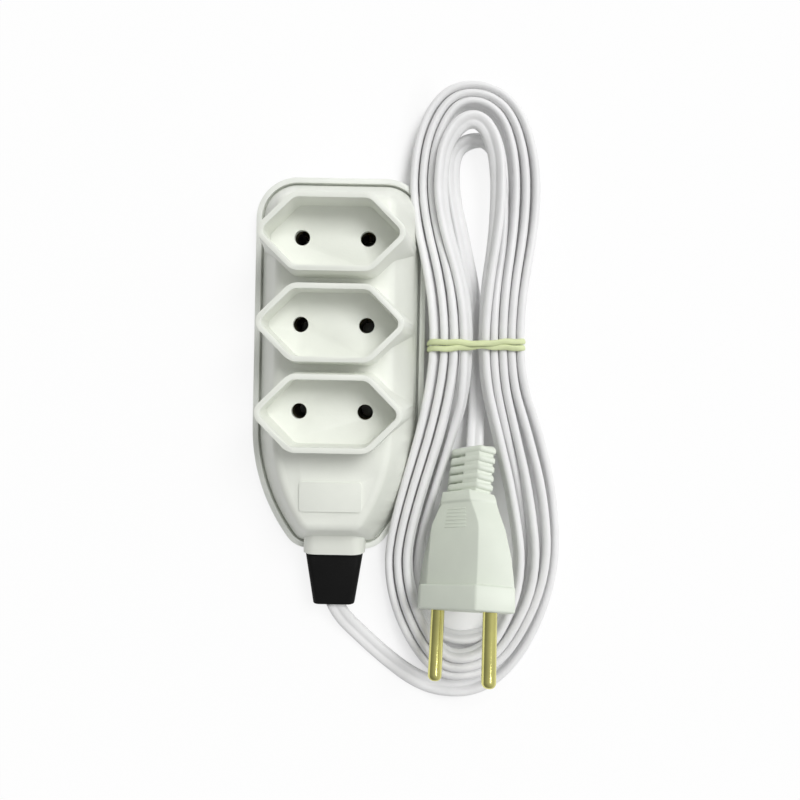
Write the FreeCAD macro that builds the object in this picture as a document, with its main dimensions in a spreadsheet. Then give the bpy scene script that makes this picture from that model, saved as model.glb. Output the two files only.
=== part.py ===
import FreeCAD, Part
import Sketcher
import math
import os

# A flat three-way mains extension cord: socket block, boot, folded flat cord and moulded plug.
# Millimetres. The origin is the bottom centre of the socket block, +X to the right,
# +Y towards the block's end without the cord, +Z up out of the sockets.

vector = FreeCAD.Vector
doc = FreeCAD.newDocument("ExtensionCord")
sheet = doc.addObject("Spreadsheet::Sheet", "Sizes")


# Socket block, seen from above
block_half_width = 26.7
block_end_top = 58
block_end_bottom = 58
block_corner = 13
block_waist_start = 20
block_side_radius = 58
block_nose_radius = 8

# Tray under the block
tray_height = 5
tray_floor = 2
tray_wall = 1.65
rim_gap = 0.85
foot_chamfer = 0.8

# Moulded cover
cover_top = 22
cover_wall = 2
flank_draft = 23.2
nose_fillet = 4.5
cover_edge = 3
frame_plate_half_width = 9
frame_plate_top = 34.3
frame_plate_bottom = 42.9
frame_plate_raise = 0.5

# Socket towers and their hexagonal recesses
outlet_count = 3
outlet_pitch = 24.9
outlet_middle = 10.8
tower_top = 32
tower_wall = 1.5
tower_foot = 7
tower_slant_draft = 5.7
tower_side_draft = 4
recess_depth = 10
recess_half_height = 9.25
recess_apex = 19.55
recess_tip_radius = 2.2
recess_corner_radius = 3.5
pin_spacing = 19
pin_hole_radius = 2.25

# Brass strips and contact sleeves
strip_bottom = 6.2
strip_thickness = 0.8
strip_width = 6
strip_end_top = 50
strip_end_bottom = 29
strip_hole_radius = 2.3
sleeve_radius = 2.8
sleeve_bore_radius = 2.05
sleeve_height = 11.5
sleeve_slit = 1
support_length = 3

# Shell screws and their bosses
boss_radius = 4.2
boss_top = 4.5
post_radius = 3.4
shell_screw_radius = 1.45
shell_screw_head_radius = 2.8
shell_screw_head_height = 1.8
shell_screw_head_recess = 0.4
shell_screw_length = 12
screw_clearance = 0.2

# Flat twin cord
cord_width = 5.4
cord_thickness = 2.4
cord_edge = 0.7
core_radius = 0.95
core_spacing = 2.7

# Cord entry: collar, boot and clamp
entry_height = 5.5
collar_half_width = 9.4
collar_top = 12.5
collar_corner = 4
collar_start = 49
boot_neck_half_width = 7
boot_neck_half_height = 3.4
boot_neck_length = 5
boot_flange_half_width = 8.4
boot_flange_half_height = 4
boot_flange_length = 2.5
boot_root_half_width = 8.8
boot_root_half_height = 4.9
boot_tip_half_width = 6.35
boot_tip_half_height = 3.3
boot_length = 16.2
entry_clearance = 0.15
clamp_middle = 46
clamp_length = 5.5
clamp_half_width = 10.5
clamp_thickness = 2.4
clamp_screw_offset = 7.5
clamp_screw_radius = 1.15
clamp_screw_head_radius = 2.3
clamp_screw_head_height = 1.6
clamp_screw_grip = 3.5
clamp_post_radius = 2.9
sheath_end = 43
barrel_radius = 1.6
barrel_bore_radius = 1.1
barrel_length = 5
tongue_length = 6

# Moulded plug, in its own frame: face at 0, pins towards +Z, cord towards -Z
plug_apex = 17.85
plug_half_height = 7.65
plug_corner = 1
flange_length = 6.8
flange_step = 1.2
grip_length = 9.7
grip_apex = 15.3
grip_half_height = 6.7
waist_length = 9
waist_apex = 13
waist_half_height = 6.3
notch_depth = 1.1
notch_length = 1.5
shoulder_length = 6.5
shoulder_apex = 10
shoulder_half_height = 5.5
relief_length = 14.5
relief_half_width = 5.8
relief_half_height = 4.8
relief_tip_half_width = 4.4
relief_tip_half_height = 3.4
relief_core_inset = 1.1
rib_count = 5
rib_pitch = 2.7
rib_length = 1.7
plug_pin_radius = 2
plug_pin_length = 19
plug_pin_root = 13
plug_pin_root_radius = 2.3
plug_face_wall = 1.8
bridge_length = 9
bridge_apex = 13.6
bridge_half_height = 3.4
bridge_gap = 0.15
plug_crimp_radius = 1.8
plug_crimp_length = 6
plug_sheath_end = 24

# Where the plug lies, and how it is turned
plug_x = 38.6
plug_south = 70.2
plug_z = 23.5
plug_roll = 45
plug_pitch = 21.5
plug_yaw = 3.2

# Hank: step between the two layers, and the band at its waist
layer_gap = 0.5
band_width = 3.8
band_thickness = 0.8
band_gap = 0.3
waist_y = 6.2

driving = {name: value for name, value in globals().items() if isinstance(value, (int, float))}


class Size:
    """A length that knows both its value and the sheet expression that gives it."""

    def __init__(self, value, text):
        self.value = value
        self.text = text

    def __add__(self, other):
        other = as_size(other)
        return Size(self.value + other.value, f"({self.text} + {other.text})")

    def __radd__(self, other):
        return as_size(other) + self

    def __sub__(self, other):
        other = as_size(other)
        return Size(self.value - other.value, f"({self.text} - {other.text})")

    def __rsub__(self, other):
        return as_size(other) - self

    def __mul__(self, other):
        other = as_size(other)
        return Size(self.value * other.value, f"({self.text} * {other.text})")

    def __rmul__(self, other):
        return as_size(other) * self

    def __truediv__(self, other):
        other = as_size(other)
        return Size(self.value / other.value, f"({self.text} / {other.text})")

    def __neg__(self):
        return Size(-self.value, f"(0 - {self.text})")


def as_size(number):
    return number if isinstance(number, Size) else Size(number, repr(number))


def root(size):
    return Size(math.sqrt(size.value), f"sqrt({size.text})")


class Sizes:
    """The driving dimensions, one cell of the sheet each."""


sizes = Sizes()
for row, (name, value) in enumerate(driving.items(), 1):
    sheet.set(f"A{row}", name)
    sheet.set(f"B{row}", str(value))
    sheet.setAlias(f"B{row}", name)
    setattr(sizes, name, Size(value, f"Sizes.{name}"))

doc.recompute()


def bind(thing, name, size):
    size = as_size(size)
    if "." not in name:
        setattr(thing, name, size.value)
    thing.setExpression(name, size.text)


def body_named(name):
    body = doc.addObject("PartDesign::Body", name)
    body.Label = name
    return body


def origin_feature(body, role):
    return next(feature for feature in body.Origin.OriginFeatures if feature.Role == role)


def line(start, end):
    return ("line", start, end, None)


def arc(start, end, radius):
    """An arc from start to end with its centre on the left of the way along it."""
    return ("arc", start, end, radius)


def arc_through(start, end, radius):
    """The numbers of a left-hand arc under a half circle: centre and middle point."""
    ax, ay = start
    bx, by = end
    chord = math.hypot(bx - ax, by - ay)
    reach = math.sqrt(max(radius * radius - chord * chord / 4, 0))
    left = (-(by - ay) / chord, (bx - ax) / chord)
    centre = ((ax + bx) / 2 + left[0] * reach, (ay + by) / 2 + left[1] * reach)
    middle = (centre[0] - left[0] * radius, centre[1] - left[1] * radius)
    return centre, middle


def at_values(point):
    return (as_size(point[0]).value, as_size(point[1]).value)


def sketch_on(body, name, plane, offset):
    sketch = body.newObject("Sketcher::SketchObject", name)
    sketch.AttachmentSupport = (origin_feature(body, plane), "")
    sketch.MapMode = "FlatFace"
    offset = as_size(offset)
    sketch.AttachmentOffset = FreeCAD.Placement(vector(0, 0, offset.value), FreeCAD.Rotation())
    sketch.setExpression("AttachmentOffset.Base.z", offset.text)
    return sketch


def place_point(sketch, geometry, position, point):
    for kind, size in zip(("DistanceX", "DistanceY"), point):
        size = as_size(size)
        number = sketch.addConstraint(
            Sketcher.Constraint(kind, -1, 1, geometry, position, size.value))
        sketch.setExpression(f"Constraints[{number}]", size.text)


def add_outline(sketch, segments):
    """A closed outline of lines and arcs, each corner dimensioned from the sketch's origin."""
    numbers = []
    for kind, start, end, radius in segments:
        a = at_values(start)
        b = at_values(end)
        if kind == "line":
            shape = Part.LineSegment(vector(*a, 0), vector(*b, 0))
        else:
            middle = arc_through(a, b, as_size(radius).value)[1]
            shape = Part.Arc(vector(*a, 0), vector(*middle, 0), vector(*b, 0))
        numbers.append(sketch.addGeometry(shape, False))
    for index, (kind, start, end, radius) in enumerate(segments):
        number = numbers[index]
        following = numbers[(index + 1) % len(numbers)]
        sketch.addConstraint(Sketcher.Constraint("Coincident", number, 2, following, 1))
        place_point(sketch, number, 1, start)
        if kind == "arc":
            held = sketch.addConstraint(
                Sketcher.Constraint("Radius", number, as_size(radius).value))
            sketch.setExpression(f"Constraints[{held}]", as_size(radius).text)
    return sketch


def add_circle(sketch, centre, radius):
    radius = as_size(radius)
    shape = Part.Circle(vector(*at_values(centre), 0), vector(0, 0, 1), radius.value)
    number = sketch.addGeometry(shape, False)
    place_point(sketch, number, 3, centre)
    held = sketch.addConstraint(Sketcher.Constraint("Radius", number, radius.value))
    sketch.setExpression(f"Constraints[{held}]", radius.text)
    return sketch


def box_outline(half_width, low, high, radius=None):
    """A rectangle about the vertical axis, with round corners where a radius is given."""
    if radius is None:
        corners = [(half_width, low), (half_width, high), (-half_width, high), (-half_width, low)]
        return [line(corners[i], corners[(i + 1) % 4]) for i in range(4)]
    inner = half_width - radius
    return [
        line((half_width, low + radius), (half_width, high - radius)),
        arc((half_width, high - radius), (inner, high), radius),
        line((inner, high), (-inner, high)),
        arc((-inner, high), (-half_width, high - radius), radius),
        line((-half_width, high - radius), (-half_width, low + radius)),
        arc((-half_width, low + radius), (-inner, low), radius),
        line((-inner, low), (inner, low)),
        arc((inner, low), (half_width, low + radius), radius),
    ]


HALF_ROOT = math.sqrt(0.5)
EIGHTH_TAN = math.tan(math.pi / 8)


def hexagon_outline(apex, half_height, tip_radius, corner_radius, middle=0):
    """A flat hexagon with slants of 45 degrees and all of its corners round."""
    flat = apex - half_height
    back = corner_radius * EIGHTH_TAN
    drop = back * HALF_ROOT
    tip = tip_radius * HALF_ROOT
    middle = as_size(middle)
    top = middle + half_height
    low = middle - half_height
    return [
        arc((flat + drop, top - drop), (flat - back, top), corner_radius),
        line((flat - back, top), (back - flat, top)),
        arc((back - flat, top), (-(flat + drop), top - drop), corner_radius),
        line((-(flat + drop), top - drop), (tip - apex, middle + tip)),
        arc((tip - apex, middle + tip), (tip - apex, middle - tip), tip_radius),
        line((tip - apex, middle - tip), (-(flat + drop), low + drop)),
        arc((-(flat + drop), low + drop), (back - flat, low), corner_radius),
        line((back - flat, low), (flat - back, low)),
        arc((flat - back, low), (flat + drop, low + drop), corner_radius),
        line((flat + drop, low + drop), (apex - tip, middle - tip)),
        arc((apex - tip, middle - tip), (apex - tip, middle + tip), tip_radius),
        line((apex - tip, middle + tip), (flat + drop, top - drop)),
    ]


def block_outline(inset, sharp_nose=False):
    """The block's outline, drawn in by an inset: straight sides, then a long curve to the nose."""
    s = sizes
    inset = as_size(inset)
    width = s.block_half_width - inset
    top = s.block_end_top - inset
    low = -(s.block_end_bottom - inset)
    corner = s.block_corner - inset
    nose = as_size(0) if sharp_nose else s.block_nose_radius - inset
    side = s.block_side_radius - inset
    reach = side - nose
    drop = low + nose + s.block_waist_start
    across = root(reach * reach - drop * drop)
    nose_x = s.block_half_width - s.block_side_radius + across
    touch_x = s.block_half_width - s.block_side_radius + across * side / reach
    touch_y = drop * side / reach - s.block_waist_start
    bend_y = -s.block_waist_start
    nose_arcs = [] if sharp_nose else [
        arc((-touch_x, touch_y), (-nose_x, low), nose),
        arc((nose_x, low), (touch_x, touch_y), nose),
    ]
    return [
        line((width, bend_y), (width, top - corner)),
        arc((width, top - corner), (width - corner, top), corner),
        line((width - corner, top), (corner - width, top)),
        arc((corner - width, top), (-width, top - corner), corner),
        line((-width, top - corner), (-width, bend_y)),
        arc((-width, bend_y), (-touch_x, touch_y), side),
        *nose_arcs[:1],
        line((-nose_x, low), (nose_x, low)),
        *nose_arcs[1:],
        arc((touch_x, touch_y), (width, bend_y), side),
    ]


def outline_sketch(body, name, plane, offset, segments):
    return add_outline(sketch_on(body, name, plane, offset), segments)


def pad(body, name, sketch, length, reverse=False):
    feature = body.newObject("PartDesign::Pad", name)
    feature.Profile = sketch
    bind(feature, "Length", length)
    feature.Reversed = reverse
    return feature


def pocket(body, name, sketch, length, reverse=False):
    feature = body.newObject("PartDesign::Pocket", name)
    feature.Profile = sketch
    bind(feature, "Length", length)
    feature.Reversed = reverse
    return feature


def loft(body, name, sketches, cut=False, ruled=True):
    kind = "PartDesign::SubtractiveLoft" if cut else "PartDesign::AdditiveLoft"
    feature = body.newObject(kind, name)
    feature.Profile = sketches[0]
    feature.Sections = sketches[1:]
    feature.Ruled = ruled
    return feature


def row_of(body, name, features, step, count, axis="Y_Axis"):
    feature = body.newObject("PartDesign::LinearPattern", name)
    feature.Originals = features
    feature.Direction = (origin_feature(body, axis), [""])
    feature.Mode = "Spacing"
    bind(feature, "Offset", step)
    bind(feature, "Occurrences", count)
    body.Tip = feature
    return feature


def revolve(body, name, sketch):
    feature = body.newObject("PartDesign::Revolution", name)
    feature.Profile = sketch
    feature.ReferenceAxis = (sketch, ["V_Axis"])
    feature.Angle = 360
    return feature


def edges_where(feature, test):
    """Names of a feature's edges whose middle point passes a test."""
    names = []
    for number, edge in enumerate(feature.Shape.Edges, 1):
        middle = edge.valueAt((edge.FirstParameter + edge.LastParameter) / 2)
        if test(edge, middle):
            names.append(f"Edge{number}")
    return names


def dress(body, kind, name, base, edges, size_name, size):
    feature = body.newObject(f"PartDesign::{kind}", name)
    feature.Base = (base, edges)
    bind(feature, size_name, size)
    return feature


def drafted(body, name, base, height, angle, test):
    """Lean the side faces that pass a test, about the level face at a height."""
    feature = body.newObject("PartDesign::Draft", name)
    faces = []
    neutral = None
    for number, face in enumerate(base.Shape.Faces, 1):
        box = face.BoundBox
        middle = face.ParameterRange
        way = face.normalAt((middle[0] + middle[1]) / 2, (middle[2] + middle[3]) / 2)
        if abs(box.ZMin - height.value) < 1e-3 and box.ZLength < 1e-3:
            neutral = f"Face{number}"
        elif test(face, way):
            faces.append(f"Face{number}")
    feature.Base = (base, faces)
    feature.NeutralPlane = (base, [neutral])
    bind(feature, "Angle", angle)
    return feature


def flat_at(height):
    """A test for edges that lie level at one height."""
    def test(edge, middle):
        box = edge.BoundBox
        return abs(box.ZMin - height.value) < 1e-3 and abs(box.ZMax - height.value) < 1e-3
    return test


# Places shared by several pieces
first_outlet = sizes.outlet_middle - sizes.outlet_pitch
half_pitch = sizes.outlet_pitch / 2
first_seat = first_outlet - half_pitch
pin_offset = sizes.pin_spacing / 2
strip_top = sizes.strip_bottom + sizes.strip_thickness
recess_floor = sizes.tower_top - sizes.recess_depth
recess_under = recess_floor - sizes.cover_wall
cover_inset = sizes.tray_wall + sizes.rim_gap
collar_end = sizes.block_end_bottom
collar_depth = collar_end - sizes.collar_start
flange_pocket_length = sizes.boot_flange_length + 2 * sizes.entry_clearance
neck_start = collar_end - sizes.boot_neck_length
sheath_top = sizes.entry_height + sizes.cord_thickness / 2
sheath_bottom = sizes.entry_height - sizes.cord_thickness / 2
screw_hole = sizes.shell_screw_radius + sizes.screw_clearance
head_hole = sizes.shell_screw_head_radius + sizes.screw_clearance
head_top = sizes.shell_screw_head_recess + sizes.shell_screw_head_height


def entry_cuts(body, gap):
    """The way of the boot's neck and flange through a collar half."""
    s = sizes
    neck = outline_sketch(body, "NeckSketch", "XZ_Plane", s.collar_start, box_outline(
        s.boot_neck_half_width + gap, s.entry_height - s.boot_neck_half_height - gap,
        s.entry_height + s.boot_neck_half_height + gap))
    pocket(body, "NeckWay", neck, collar_depth + 1, reverse=True)
    flange = outline_sketch(body, "FlangeSketch", "XZ_Plane", neck_start, box_outline(
        s.boot_flange_half_width + gap, s.entry_height - s.boot_flange_half_height - gap,
        s.entry_height + s.boot_flange_half_height + gap))
    return pocket(body, "FlangeWay", flange, flange_pocket_length + 2)


def make_base_shell():
    s = sizes
    body = body_named("base_shell")
    outer = outline_sketch(body, "TraySketch", "XY_Plane", 0, block_outline(0))
    tray = pad(body, "Tray", outer, s.tray_height)
    inner = outline_sketch(body, "FloorSketch", "XY_Plane", s.tray_height,
                           block_outline(s.tray_wall))
    hollow = pocket(body, "TrayHollow", inner, s.tray_height - s.tray_floor)
    doc.recompute()
    foot = dress(body, "Chamfer", "FootChamfer", hollow,
                 edges_where(hollow, flat_at(as_size(0))), "Size", s.foot_chamfer)
    collar = outline_sketch(body, "CollarSketch", "XY_Plane", 0,
                            box_outline(s.collar_half_width, -collar_end, -s.collar_start))
    pad(body, "CollarHalf", collar, s.tray_height)
    seat = sketch_on(body, "SaddleSketch", "XY_Plane", 0)
    add_outline(seat, box_outline(s.cord_width / 2, -(s.clamp_middle + s.clamp_length / 2),
                                  s.clamp_length / 2 - s.clamp_middle))
    pad(body, "CordSaddle", seat, sheath_bottom)
    posts = sketch_on(body, "ClampPostSketch", "XY_Plane", 0)
    for side in (1, -1):
        add_circle(posts, (side * s.clamp_screw_offset, -s.clamp_middle), s.clamp_post_radius)
    pad(body, "ClampPosts", posts, sheath_top)
    entry_cuts(body, s.entry_clearance)
    supports = sketch_on(body, "SupportSketch", "XY_Plane", 0)
    for side in (1, -1):
        middle = side * pin_offset
        half = s.strip_width / 2
        low = first_seat - s.support_length / 2
        high = first_seat + s.support_length / 2
        corners = [(middle - half, low), (middle + half, low), (middle + half, high),
                   (middle - half, high)]
        add_outline(supports, [line(corners[i], corners[(i + 1) % 4]) for i in range(4)])
    support = pad(body, "StripSupport", supports, s.strip_bottom)
    doc.recompute()
    row_of(body, "StripSupports", [support], s.outlet_pitch, s.outlet_count + 1)
    boss = sketch_on(body, "BossSketch", "XY_Plane", 0)
    add_circle(boss, (0, first_seat), s.boss_radius)
    bosses = pad(body, "Boss", boss, s.boss_top)
    row_of(body, "Bosses", [bosses], s.outlet_pitch, s.outlet_count)
    way = sketch_on(body, "ScrewWaySketch", "XY_Plane", 0)
    add_circle(way, (0, first_seat), screw_hole)
    screw_way = pocket(body, "ScrewWay", way, s.boss_top + 1, reverse=True)
    row_of(body, "ScrewWays", [screw_way], s.outlet_pitch, s.outlet_count)
    head = sketch_on(body, "HeadWaySketch", "XY_Plane", 0)
    add_circle(head, (0, first_seat), head_hole)
    head_way = pocket(body, "HeadWay", head, head_top, reverse=True)
    row_of(body, "HeadWays", [head_way], s.outlet_pitch, s.outlet_count)
    pilots = sketch_on(body, "PilotSketch", "XY_Plane", sheath_top)
    for side in (1, -1):
        add_circle(pilots, (side * s.clamp_screw_offset, -s.clamp_middle),
                   s.clamp_screw_radius + 0.1)
    pocket(body, "ClampPilots", pilots, s.clamp_screw_grip + 0.5)
    return body


def sharp_hexagon(apex, half_height, middle):
    """A flat hexagon with slants of 45 degrees and sharp corners."""
    flat = apex - half_height
    top = middle + half_height
    low = middle - half_height
    corners = [(apex, middle), (flat, top), (-flat, top), (-apex, middle), (-flat, low),
               (flat, low)]
    return [line(corners[i], corners[(i + 1) % 6]) for i in range(6)]


def make_towers():
    """The three socket towers as one drafted and rounded row, joined at their feet."""
    s = sizes
    body = body_named("SocketTowers")
    apex = s.recess_apex + s.tower_wall / HALF_ROOT
    height = s.recess_half_height + s.tower_wall
    rim = outline_sketch(body, "TowerRim", "XY_Plane", s.tower_top,
                         sharp_hexagon(apex, height, first_outlet))
    tower = pad(body, "Tower", rim, s.tower_top - s.tower_foot, reverse=True)
    doc.recompute()
    slants = drafted(body, "TowerSlants", tower, s.tower_top, s.tower_slant_draft,
                     lambda face, way: abs(way.x) > 0.5)
    doc.recompute()
    flats = drafted(body, "TowerFlats", slants, s.tower_top, s.tower_side_draft,
                    lambda face, way: abs(way.x) < 0.1 and abs(way.y) > 0.5)
    doc.recompute()
    tips = dress(body, "Fillet", "TowerTips", flats, edges_where(
        flats, lambda edge, middle: edge.BoundBox.ZLength > 5
        and abs(middle.y - first_outlet.value) < 1), "Radius", s.recess_tip_radius + s.tower_wall)
    doc.recompute()
    corners = dress(body, "Fillet", "TowerCorners", tips, edges_where(
        tips, lambda edge, middle: edge.BoundBox.ZLength > 5
        and abs(middle.y - first_outlet.value) > height.value - 1), "Radius",
        s.recess_corner_radius + s.tower_wall)
    doc.recompute()
    row = body.newObject("PartDesign::LinearPattern", "TowerRow")
    row.TransformMode = "Whole shape"
    row.Direction = (origin_feature(body, "Y_Axis"), [""])
    row.Mode = "Spacing"
    bind(row, "Offset", s.outlet_pitch)
    bind(row, "Occurrences", s.outlet_count)
    body.Tip = row
    return body


def make_upper_shell():
    s = sizes
    towers = make_towers()
    body = body_named("upper_shell")
    inner = cover_inset + s.cover_wall
    flank = outline_sketch(body, "FlankSketch", "XY_Plane", s.tray_height,
                           block_outline(cover_inset, sharp_nose=True))
    cover = pad(body, "Cover", flank, s.cover_top - s.tray_height)
    doc.recompute()
    flanks = drafted(body, "Flanks", cover, s.tray_height, s.flank_draft,
                     lambda face, way: abs(way.z) < 0.5)
    doc.recompute()
    nose = dress(body, "Fillet", "NoseCorners", flanks, edges_where(
        flanks, lambda edge, middle: edge.BoundBox.ZLength > 5
        and middle.y < s.collar_start.value * -1 and abs(middle.x) > 2), "Radius",
        s.nose_fillet)
    doc.recompute()
    top_edge = dress(body, "Fillet", "TopEdge", nose, edges_where(nose, flat_at(s.cover_top)),
                     "Radius", s.cover_edge)
    skirt = outline_sketch(body, "SkirtSketch", "XY_Plane", s.tray_height,
                           block_outline(cover_inset))
    pad(body, "Skirt", skirt, s.tray_height - s.tray_floor, reverse=True)
    collar = outline_sketch(body, "CollarSketch", "XZ_Plane", s.collar_start, [
        line((s.collar_half_width, s.tray_height),
             (s.collar_half_width, s.collar_top - s.collar_corner)),
        arc((s.collar_half_width, s.collar_top - s.collar_corner),
            (s.collar_half_width - s.collar_corner, s.collar_top), s.collar_corner),
        line((s.collar_half_width - s.collar_corner, s.collar_top),
             (s.collar_corner - s.collar_half_width, s.collar_top)),
        arc((s.collar_corner - s.collar_half_width, s.collar_top),
            (-s.collar_half_width, s.collar_top - s.collar_corner), s.collar_corner),
        line((-s.collar_half_width, s.collar_top - s.collar_corner),
             (-s.collar_half_width, s.tray_height)),
        line((-s.collar_half_width, s.tray_height), (s.collar_half_width, s.tray_height)),
    ])
    pad(body, "CollarHalf", collar, collar_depth)
    plate = outline_sketch(body, "FramePlateSketch", "XY_Plane", s.cover_top - 0.5, box_outline(
        s.frame_plate_half_width, -s.frame_plate_bottom, -s.frame_plate_top, as_size(1)))
    pad(body, "FramePlate", plate, s.frame_plate_raise + 0.5)
    joined = body.newObject("PartDesign::Boolean", "TowersJoined")
    joined.Type = "Fuse"
    joined.setObjects([towers])
    rise = recess_under - s.tray_height
    lean = rise * math.tan(math.radians(s.flank_draft.value))
    inside = outline_sketch(body, "HollowSketch", "XY_Plane", s.tray_floor,
                            block_outline(inner + lean, sharp_nose=True))
    hollow = pocket(body, "Hollow", inside, recess_under - s.tray_floor, reverse=True)
    doc.recompute()
    hollow_draft = math.degrees(math.atan(lean.value / (recess_under - s.tray_floor).value))
    drafted(body, "HollowFlanks", hollow, recess_under, -as_size(hollow_draft),
            lambda face, way: abs(way.z) < 0.1
            and abs(face.BoundBox.ZMin - s.tray_floor.value) < 1e-3
            and abs(face.BoundBox.ZMax - recess_under.value) < 1e-3)
    post = sketch_on(body, "PostSketch", "XY_Plane", s.boss_top)
    add_circle(post, (0, first_seat), s.post_radius)
    posts = pad(body, "Post", post, recess_under + 0.5 - s.boss_top)
    row_of(body, "Posts", [posts], s.outlet_pitch, s.outlet_count)
    pilot = sketch_on(body, "PilotSketch", "XY_Plane", s.boss_top)
    add_circle(pilot, (0, first_seat), s.shell_screw_radius + 0.05)
    pilots = pocket(body, "Pilot", pilot, s.shell_screw_length, reverse=True)
    row_of(body, "Pilots", [pilots], s.outlet_pitch, s.outlet_count)
    recess = outline_sketch(body, "RecessSketch", "XY_Plane", s.tower_top, hexagon_outline(
        s.recess_apex, s.recess_half_height, s.recess_tip_radius, s.recess_corner_radius,
        first_outlet))
    recesses = pocket(body, "Recess", recess, s.recess_depth)
    row_of(body, "Recesses", [recesses], s.outlet_pitch, s.outlet_count)
    holes = sketch_on(body, "PinHoleSketch", "XY_Plane", recess_floor)
    for side in (1, -1):
        add_circle(holes, (side * pin_offset, first_outlet), s.pin_hole_radius)
    pin_holes = pocket(body, "PinHoles", holes, s.cover_wall + 0.5)
    row_of(body, "PinHoleRow", [pin_holes], s.outlet_pitch, s.outlet_count)
    entry_cuts(body, s.entry_clearance)
    return body


def make_bus_strip(name, side):
    s = sizes
    body = body_named(name)
    middle = side * pin_offset
    half = s.strip_width / 2
    corners = [(middle - half, -s.strip_end_bottom), (middle + half, -s.strip_end_bottom),
               (middle + half, s.strip_end_top), (middle - half, s.strip_end_top)]
    plate = outline_sketch(body, "StripSketch", "XY_Plane", s.strip_bottom,
                           [line(corners[i], corners[(i + 1) % 4]) for i in range(4)])
    pad(body, "Strip", plate, s.strip_thickness)
    hole = sketch_on(body, "StripHoleSketch", "XY_Plane", strip_top)
    add_circle(hole, (middle, first_outlet), s.strip_hole_radius)
    holes = pocket(body, "StripHole", hole, s.strip_thickness)
    doc.recompute()
    row_of(body, "StripHoles", [holes], s.outlet_pitch, s.outlet_count)
    return body


def make_contact(name, side, number):
    """A split spring sleeve that grips one pin."""
    s = sizes
    body = body_named(name)
    flare = (s.sleeve_radius - s.sleeve_bore_radius) / 2
    corners = [(s.sleeve_bore_radius, 0), (s.sleeve_radius, 0),
               (s.sleeve_radius, s.sleeve_height), (s.sleeve_radius - flare / 2, s.sleeve_height),
               (s.sleeve_bore_radius, s.sleeve_height - flare * 2)]
    wall = outline_sketch(body, "SleeveSketch", "XZ_Plane", 0,
                          [line(corners[i], corners[(i + 1) % 5]) for i in range(5)])
    revolve(body, "Sleeve", wall)
    slit = outline_sketch(body, "SlitSketch", "XZ_Plane", 0, box_outline(
        s.sleeve_slit / 2, as_size(1.5), s.sleeve_height + 1))
    pocket(body, "Slit", slit, s.sleeve_radius + 1)
    bind(body, "Placement.Base.x", side * pin_offset)
    bind(body, "Placement.Base.y", first_outlet + number * s.outlet_pitch)
    bind(body, "Placement.Base.z", strip_top)
    return body


def make_screws(name, places, head_radius, head_height, radius, length, up):
    """Identical screws as separate solids in one piece; a place is where head meets shank."""
    screws = []
    for number, (x, y, z) in enumerate(places, 1):
        head = doc.addObject("Part::Cylinder", f"{name}_head_{number}")
        shank = doc.addObject("Part::Cylinder", f"{name}_shank_{number}")
        bind(head, "Radius", head_radius)
        bind(head, "Height", head_height)
        bind(shank, "Radius", radius)
        bind(shank, "Height", length + head_height / 2)
        for thing in (head, shank):
            bind(thing, "Placement.Base.x", x)
            bind(thing, "Placement.Base.y", y)
        bind(head, "Placement.Base.z", z - head_height if up else z)
        bind(shank, "Placement.Base.z", z - head_height / 2 if up else z - length)
        screw = doc.addObject("Part::Fuse", f"{name}_{number}")
        screw.Base = head
        screw.Tool = shank
        screws.append(screw)
    group = doc.addObject("Part::Compound", name)
    group.Links = screws
    group.Label = name
    return group


def make_shell_screws():
    s = sizes
    places = [(0, first_seat + number * s.outlet_pitch, head_top)
              for number in range(int(s.outlet_count.value))]
    return make_screws("shell_screws", places, s.shell_screw_head_radius,
                       s.shell_screw_head_height, s.shell_screw_radius,
                       s.shell_screw_length - 0.5, True)


def make_clamp_screws():
    s = sizes
    places = [(side * s.clamp_screw_offset, -s.clamp_middle, sheath_top + s.clamp_thickness)
              for side in (1, -1)]
    return make_screws("clamp_screws", places, s.clamp_screw_head_radius,
                       s.clamp_screw_head_height, s.clamp_screw_radius,
                       s.clamp_thickness + s.clamp_screw_grip, False)


def make_cord_clamp():
    s = sizes
    body = body_named("cord_clamp")
    half = s.clamp_length / 2
    bar = outline_sketch(body, "BarSketch", "XY_Plane", sheath_top, box_outline(
        s.clamp_half_width, -(s.clamp_middle + half), half - s.clamp_middle, half * 0.8))
    pad(body, "Bar", bar, s.clamp_thickness)
    holes = sketch_on(body, "BarHoleSketch", "XY_Plane", sheath_top + s.clamp_thickness)
    for side in (1, -1):
        add_circle(holes, (side * s.clamp_screw_offset, -s.clamp_middle),
                   s.clamp_screw_radius + s.screw_clearance)
    pocket(body, "BarHoles", holes, s.clamp_thickness)
    return body


def rounded_on_entry(body, name, offset, half_width, half_height, radius):
    return outline_sketch(body, name, "XZ_Plane", offset, box_outline(
        half_width, sizes.entry_height - half_height, sizes.entry_height + half_height, radius))


def make_boot():
    s = sizes
    body = body_named("strain_relief_boot")
    end = collar_end + 0.2
    root_ring = rounded_on_entry(body, "RootSketch", end, s.boot_root_half_width,
                                 s.boot_root_half_height, as_size(2))
    tip_ring = rounded_on_entry(body, "TipSketch", end + s.boot_length, s.boot_tip_half_width,
                                s.boot_tip_half_height, as_size(2))
    loft(body, "Taper", [root_ring, tip_ring])
    neck = rounded_on_entry(body, "NeckSketch", neck_start - 0.2, s.boot_neck_half_width,
                            s.boot_neck_half_height, as_size(1.5))
    pad(body, "Neck", neck, s.boot_neck_length + 0.5)
    flange = rounded_on_entry(body, "FlangeSketch", neck_start - s.boot_flange_length,
                              s.boot_flange_half_width, s.boot_flange_half_height, as_size(1.5))
    pad(body, "Flange", flange, s.boot_flange_length - s.entry_clearance)
    gap = s.entry_clearance
    way = rounded_on_entry(body, "CordWaySketch", s.collar_start - 2, s.cord_width / 2 + gap,
                           s.cord_thickness / 2 + gap, as_size(0.9))
    pocket(body, "CordWay", way, collar_depth + s.boot_length + 5, reverse=True)
    return body


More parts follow.
